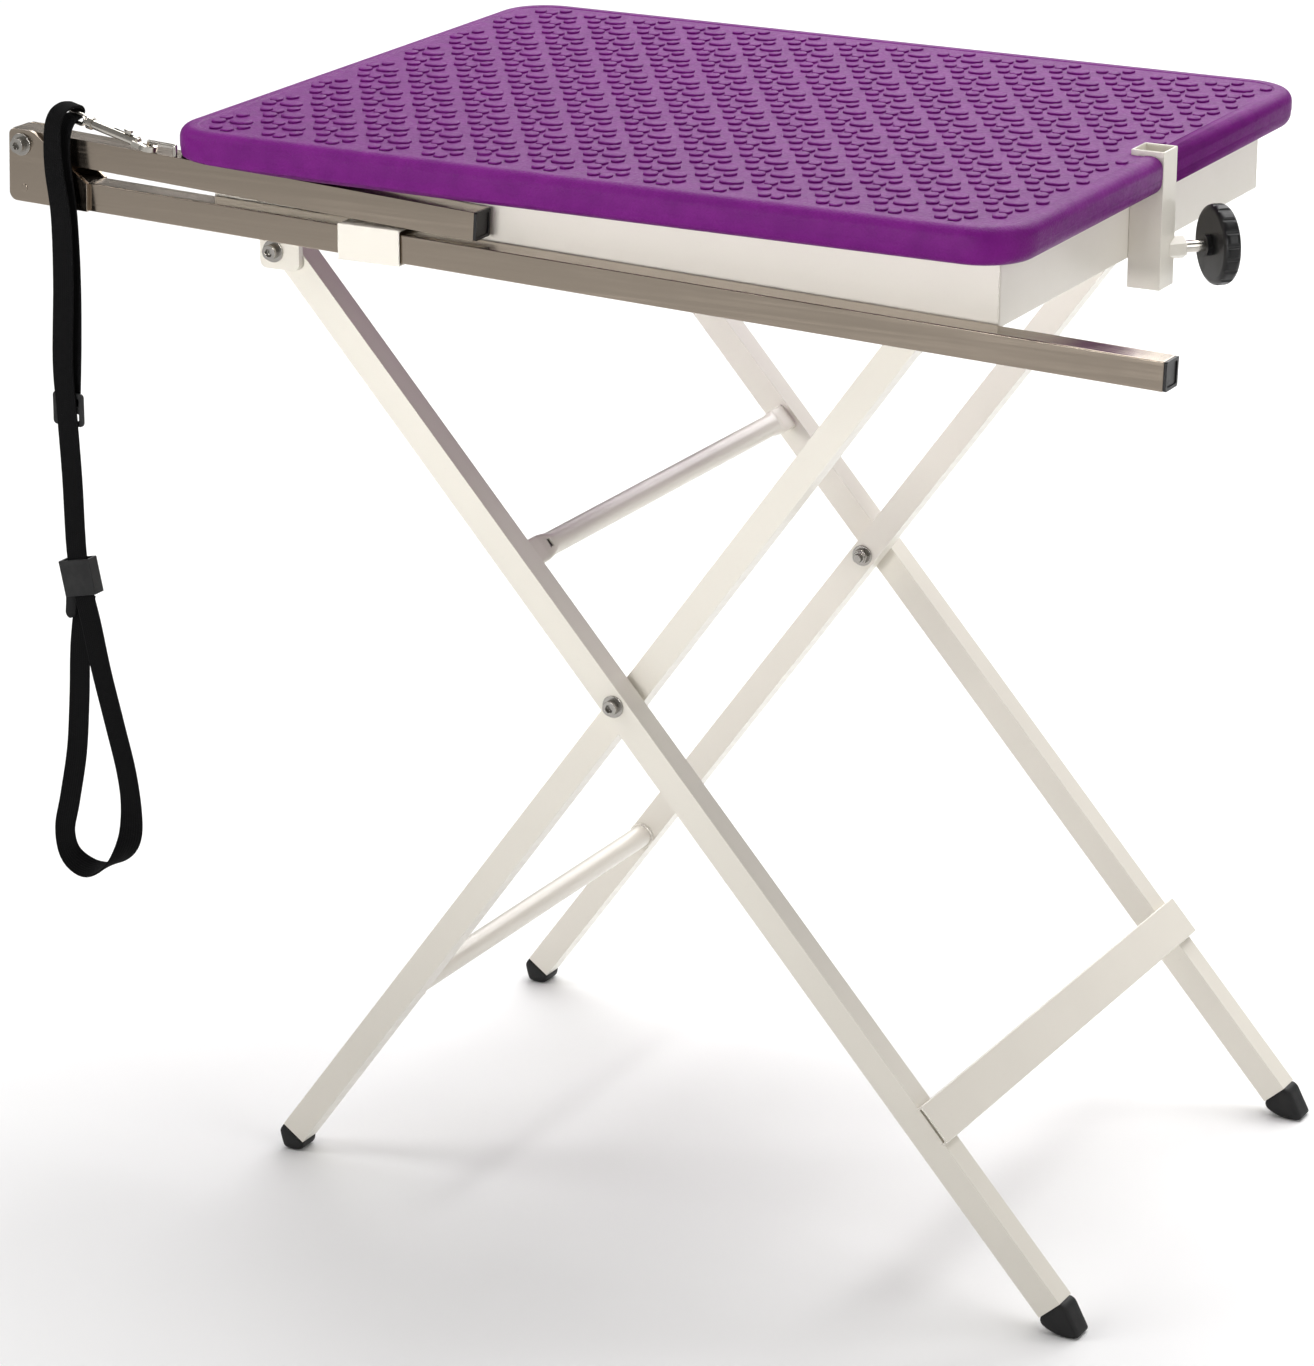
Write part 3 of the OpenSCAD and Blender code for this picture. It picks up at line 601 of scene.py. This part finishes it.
def make_cutter(name, low, high, turn):
    """A box to cut with, from low to high, then moved by turn."""
    low, high = Vector(low), Vector(high)
    bm = bmesh.new()
    bmesh.ops.create_cube(bm, size=1)
    for vert in bm.verts:
        vert.co = Vector((low[i] + (vert.co[i] + 0.5) * (high[i] - low[i]) for i in range(3)))
    bmesh.ops.transform(bm, matrix=turn, verts=bm.verts)
    return bpy.data.objects.new(name, new_mesh(name, bm))


def cut(obj, cutters):
    """Takes the cutters' shapes out of obj, and smooths what is left."""
    for cutter in cutters:
        bpy.context.scene.collection.objects.link(cutter)
        add_modifier(obj, "cut", "BOOLEAN", object=cutter, operation="DIFFERENCE", solver="EXACT")
        apply_modifiers(obj)
        bpy.data.objects.remove(cutter)
    smooth_faces(obj)
    weigh_normals(obj)


def make_slab():
    bm = bmesh.new()
    rows = add_rings(bm, [rounded_outline(inset, z) for inset, z in slab_profile()])
    add_caps(bm, rows)
    slab = make_object("slab", bm, PURPLE, "table")
    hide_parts("tabletop")
    notch = make_cutter("notch",
                        (SOCKET_LOW.x - NOTCH_END_GAP, SOCKET_LOW.y - NOTCH_SIDE_GAP, SLAB_LOW.z - OVERCUT),
                        (SLAB_HIGH.x + OVERCUT, SOCKET_HIGH.y + NOTCH_SIDE_GAP, SLAB_HIGH.z + OVERCUT),
                        Matrix())
    turn = Matrix.Translation(ARM_PIVOT + SHIFT) @ Matrix.Rotation(ARM_TILT, 4, "Y")
    channel = make_cutter("channel",
                          (CHANNEL_FROM, SLAB_LOW.y - OVERCUT, -ARM_WIDTH / 2),
                          (CHANNEL_TO, CHANNEL_BACK, ARM_WIDTH / 2 + CHANNEL_GAP),
                          turn)
    cut(slab, [notch, channel])


# Small raised pads, moulded in staggered rows over the whole upper face
PAD_ROWS = 17
PAD_COLUMNS = 17
ROW_STEP = 31.5 * MM
COLUMN_STEP = 40 * MM
ROW_OFFSET = 11.5 * MM
COLUMN_OFFSET = -10 * MM
PAD_HEIGHT = 1.5 * MM
PAD_POINTS = 16
PAD_POWER = 2.5
# Middle, half lengths and turn of each pad in one group, in mm and degrees
PAD_GROUP = [
    ((2.8, 4.5), (7.8, 6.2), 4),
    ((-12.2, 0.5), (4.7, 5.2), 16),
    ((-3.6, -16.8), (4.0, 4.9), 8),
    ((6.7, -19.6), (3.8, 4.9), -4),
    ((12.8, -9.0), (3.6, 4.9), -14)]
# A pad's side, as shares of its half lengths and of its height
PAD_RINGS = [(1.0, -0.8), (1.0, 0.5), (0.95, 0.82), (0.82, 0.95), (0.4, 1.0)]
# The border without pads, its rounded corners, and the room round the socket along X and Y
BORDER = 12 * MM
BORDER_CORNER = 22 * MM
SOCKET_ROOM = (8 * MM, 22 * MM)


def add_pad(bm, centre, half, turn):
    side = Matrix.Rotation(math.radians(turn), 3, "Z")
    rings = []
    for reach, rise in PAD_RINGS:
        flat = oval([h * MM * reach for h in half], PAD_POWER, PAD_POINTS)
        rings.append([centre + side @ Vector((x, y, 0)) + Vector((0, 0, rise * PAD_HEIGHT)) for x, y in flat])
    rows = add_rings(bm, rings)
    add_caps(bm, rows)


def pad_fits(x, y, half):
    """True where a pad x and y from the slab's middle lies inside the border and clear of the socket."""
    reach_x = (SLAB_HIGH.x - SLAB_LOW.x) / 2 - BORDER - half[0] * MM
    reach_y = (SLAB_HIGH.y - SLAB_LOW.y) / 2 - BORDER - half[1] * MM
    into_corner = [max(0, abs(x) - reach_x + BORDER_CORNER), max(0, abs(y) - reach_y + BORDER_CORNER)]
    if abs(x) > reach_x or abs(y) > reach_y or math.hypot(*into_corner) > BORDER_CORNER:
        return False
    reach_socket = SOCKET_LOW.x - SLAB_MIDDLE.x - SOCKET_ROOM[0] - half[0] * MM
    return x <= reach_socket or abs(y) >= SOCKET_ROOM[1]


def make_relief():
    bm = bmesh.new()
    for row in range(PAD_ROWS):
        y = (row - (PAD_ROWS - 1) / 2) * ROW_STEP + ROW_OFFSET
        for column in range(PAD_COLUMNS):
            x = (column - (PAD_COLUMNS - 1) / 2 + 0.5 * (row % 2)) * COLUMN_STEP + COLUMN_OFFSET
            for (dx, dy), half, turn in PAD_GROUP:
                pad_x, pad_y = x + dx * MM, y + dy * MM
                if pad_fits(pad_x, pad_y, half):
                    spot = Vector((SLAB_MIDDLE.x + pad_x, SLAB_MIDDLE.y + pad_y, SLAB_HIGH.z - RIM_RISE))
                    add_pad(bm, spot, half, turn)
    make_object("slab_relief", bm, PURPLE, "table")


# ---- tubes and welds ----

OUTER_ANGLE = math.radians(48.5)
INNER_ANGLE = math.radians(54)
FLAT_LENGTH = 15 * MM
FLAT_TAPER = 13 * MM
TAPER_STEPS = 8
FLAT_HALF = (9.4 * MM, 3.1 * MM)
FLAT_POWER = 5
TUBE_WALL = 1.4 * MM
TUBE_POINTS = 32
# The slot through one wall near each end, in the flat's own directions, and how far in it is
SLOT_LOW = (-2.8 * MM, -1.1 * MM, 1 * MM)
SLOT_HIGH = (2.8 * MM, 1.1 * MM, 12 * MM)
SLOT_IN = 22 * MM


def make_flat_ended_tube():
    """The upper cross tube: round, with ends pressed flat against the legs and a small slot near each."""
    low, high = node_box("outer_cross_tube")
    centre = (low + high) / 2
    radius = (high.x - low.x) / 2
    half = (high.y - low.y) / 2
    along = Vector((math.cos(OUTER_ANGLE), 0, -math.sin(OUTER_ANGLE)))
    through = Vector((math.sin(OUTER_ANGLE), 0, math.cos(OUTER_ANGLE)))
    stations = [half, half - FLAT_LENGTH]
    stations += [half - FLAT_LENGTH - FLAT_TAPER * k / TAPER_STEPS for k in range(1, TAPER_STEPS + 1)]
    stations += [-y for y in reversed(stations)]
    bm = bmesh.new()
    skins = []
    for wall in (0, TUBE_WALL):
        rings = []
        for y in stations:
            middle = centre + Vector((0, y, 0))
            round_share = ease((half - FLAT_LENGTH - abs(y)) / FLAT_TAPER)
            size = [flat + (radius - flat) * round_share - wall for flat in FLAT_HALF]
            spots = oval(size, FLAT_POWER + (2 - FLAT_POWER) * round_share, TUBE_POINTS)
            rings.append([middle + a * along + b * through for a, b in spots])
        skins.append(add_rings(bm, rings))
    outer, inner = skins
    for end in (0, -1):
        join_rings(bm, outer[end], inner[end])
    tube = make_object("flat_ended_tube", bm, WHITE, "outer_frame")
    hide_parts("outer_cross_tube")
    turn = Matrix((along, Vector((0, 1, 0)), through)).transposed().to_4x4()
    slots = []
    for side in (-1, 1):
        place = Matrix.Translation(centre + Vector((0, side * (half - SLOT_IN), 0))) @ turn
        slots.append(make_cutter("slot", SLOT_LOW, SLOT_HIGH, place))
    cut(tube, slots)


BEAD_RADIUS = 1.5 * MM
# How far a bead's middle lies outside the tube's face, and in from the tube's end
BEAD_OUT = 0.2 * MM
BEAD_IN = 0.4 * MM
BEAD_RIPPLE = 0.18
# Radians of the ripple's wave from one point of the loop to the next
BEAD_WAVE = 2.1
BEAD_SIDES = 8
BEAD_POINTS = 60


def add_bead(bm, centre, radius):
    """A weld bead in a circle round the Y direction, with the small waves of the weld pool."""
    across = Vector((0, -1, 0))
    rings = []
    for i in range(BEAD_POINTS):
        turn = 2 * math.pi * i / BEAD_POINTS
        out = Vector((math.cos(turn), 0, math.sin(turn)))
        size = BEAD_RADIUS * (1 + BEAD_RIPPLE * math.sin(i * BEAD_WAVE))
        ring = []
        for k in range(BEAD_SIDES):
            side = 2 * math.pi * k / BEAD_SIDES
            ring.append(centre + radius * out + size * (math.cos(side) * out + math.sin(side) * across))
        rings.append(ring)
    rows = add_rings(bm, rings)
    join_rings(bm, rows[-1], rows[0])


def make_welds():
    for node in ("inner_cross_tube", "inner_top_bar"):
        low, high = node_box(node)
        centre = (low + high) / 2
        radius = (high.x - low.x) / 2 + BEAD_OUT
        bm = bmesh.new()
        for y in (low.y + BEAD_IN, high.y - BEAD_IN):
            add_bead(bm, Vector((centre.x, y, centre.z)), radius)
        make_object(node + "_welds", bm, WHITE, "inner_frame")


# ---- feet ----

FOOT_VOXEL = 0.8 * MM
FOOT_SMOOTHING = 60
FOOT_SWELL = 0.5 * MM


def make_feet():
    """The rubber feet: each one's outer shape, rounded as moulded rubber is."""
    outer_up = Vector((-math.cos(OUTER_ANGLE), 0, math.sin(OUTER_ANGLE)))
    inner_up = Vector((math.cos(INNER_ANGLE), 0, math.sin(INNER_ANGLE)))
    for node, body, up in (("outer_feet", "outer_frame", outer_up), ("inner_feet", "inner_frame", inner_up)):
        spots = [v.co.copy() for v in frame["nodes"][node].data.vertices]
        widest = max(spot.y for spot in spots)
        # The lip: how far up the leg the widest part goes; above it there is only the plug inside the tube
        lip = max(spot.dot(up) for spot in spots if spot.y > widest - 0.2 * MM)
        bm = bmesh.new()
        for side in (-1, 1):
            points = [bm.verts.new(c) for c in spots if c.y * side > 0 and c.dot(up) < lip + 0.1 * MM]
            hull = bmesh.ops.convex_hull(bm, input=points)
            inside = set(hull["geom_interior"]) | set(hull["geom_unused"])
            spare = [item for item in inside if isinstance(item, bmesh.types.BMVert)]
            bmesh.ops.delete(bm, geom=spare, context="VERTS")
        feet = make_object(node + "_moulded", bm, RUBBER, body)
        add_modifier(feet, "remesh", "REMESH", mode="VOXEL", voxel_size=FOOT_VOXEL, use_smooth_shade=True)
        add_modifier(feet, "round", "SMOOTH", factor=0.5, iterations=FOOT_SMOOTHING)
        add_modifier(feet, "swell", "DISPLACE", strength=FOOT_SWELL, mid_level=0)
        apply_modifiers(feet)
        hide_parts(node)


# ---- floor and light ----

FLOOR_RADIUS = 14
FLOOR_UNDER = 0.5 * MM
SKY_COLOUR = (1, 0.985, 0.96, 1)
SKY_STRENGTH = 0.25
# Place, size, watts, the point it looks at, and spread in degrees
LIGHTS = {
    "overhead": ((0.1, 1.0, 3.0), (2.8, 2.2), 85, (0, 0.2, 0.4), 180),
    "background": ((-0.8, 4.8, 3.0), (5.0, 3.0), 190, (-0.8, 4.4, 0), 180),
    "left_key": ((-2.6, -1.5, 2.6), (1.4, 1.4), 38, (0, 0, 0.45), 180),
    "front_fill": ((-0.6, -4.2, 0.8), (1.4, 0.7), 4.4, (0, 0, 0.95), 30),
    "right_fill": ((3.0, -0.6, 1.5), (1.4, 1.8), 22, (0, 0, 0.4), 180)}


def make_floor():
    bm = bmesh.new()
    bmesh.ops.create_circle(bm, cap_ends=True, segments=96, radius=FLOOR_RADIUS)
    floor = bpy.data.objects.new("floor", new_mesh("floor", bm))
    floor.data.materials.append(plain_floor())
    floor.location.z = -FLOOR_UNDER
    bpy.context.scene.collection.objects.link(floor)


def make_lights():
    bpy.context.scene.view_settings.view_transform = "Standard"
    world = bpy.data.worlds.new("studio")
    world.use_nodes = True
    world.node_tree.nodes["Background"].inputs["Color"].default_value = SKY_COLOUR
    world.node_tree.nodes["Background"].inputs["Strength"].default_value = SKY_STRENGTH
    bpy.context.scene.world = world
    for name, (at, size, power, look_at, spread) in LIGHTS.items():
        data = bpy.data.lights.new(name, "AREA")
        data.shape = "RECTANGLE"
        data.size, data.size_y = size
        data.energy = power
        data.spread = math.radians(spread)
        light = bpy.data.objects.new(name, data)
        light.location = at
        light.rotation_euler = (Vector(look_at) - Vector(at)).to_track_quat("-Z", "Y").to_euler()
        bpy.context.scene.collection.objects.link(light)


make_camera()
make_pull_tab()
make_leash()
finish_cad_nodes()
make_slab()
make_relief()
make_flat_ended_tube()
make_welds()
make_feet()
make_floor()
make_lights()

bpy.context.view_layer.update()
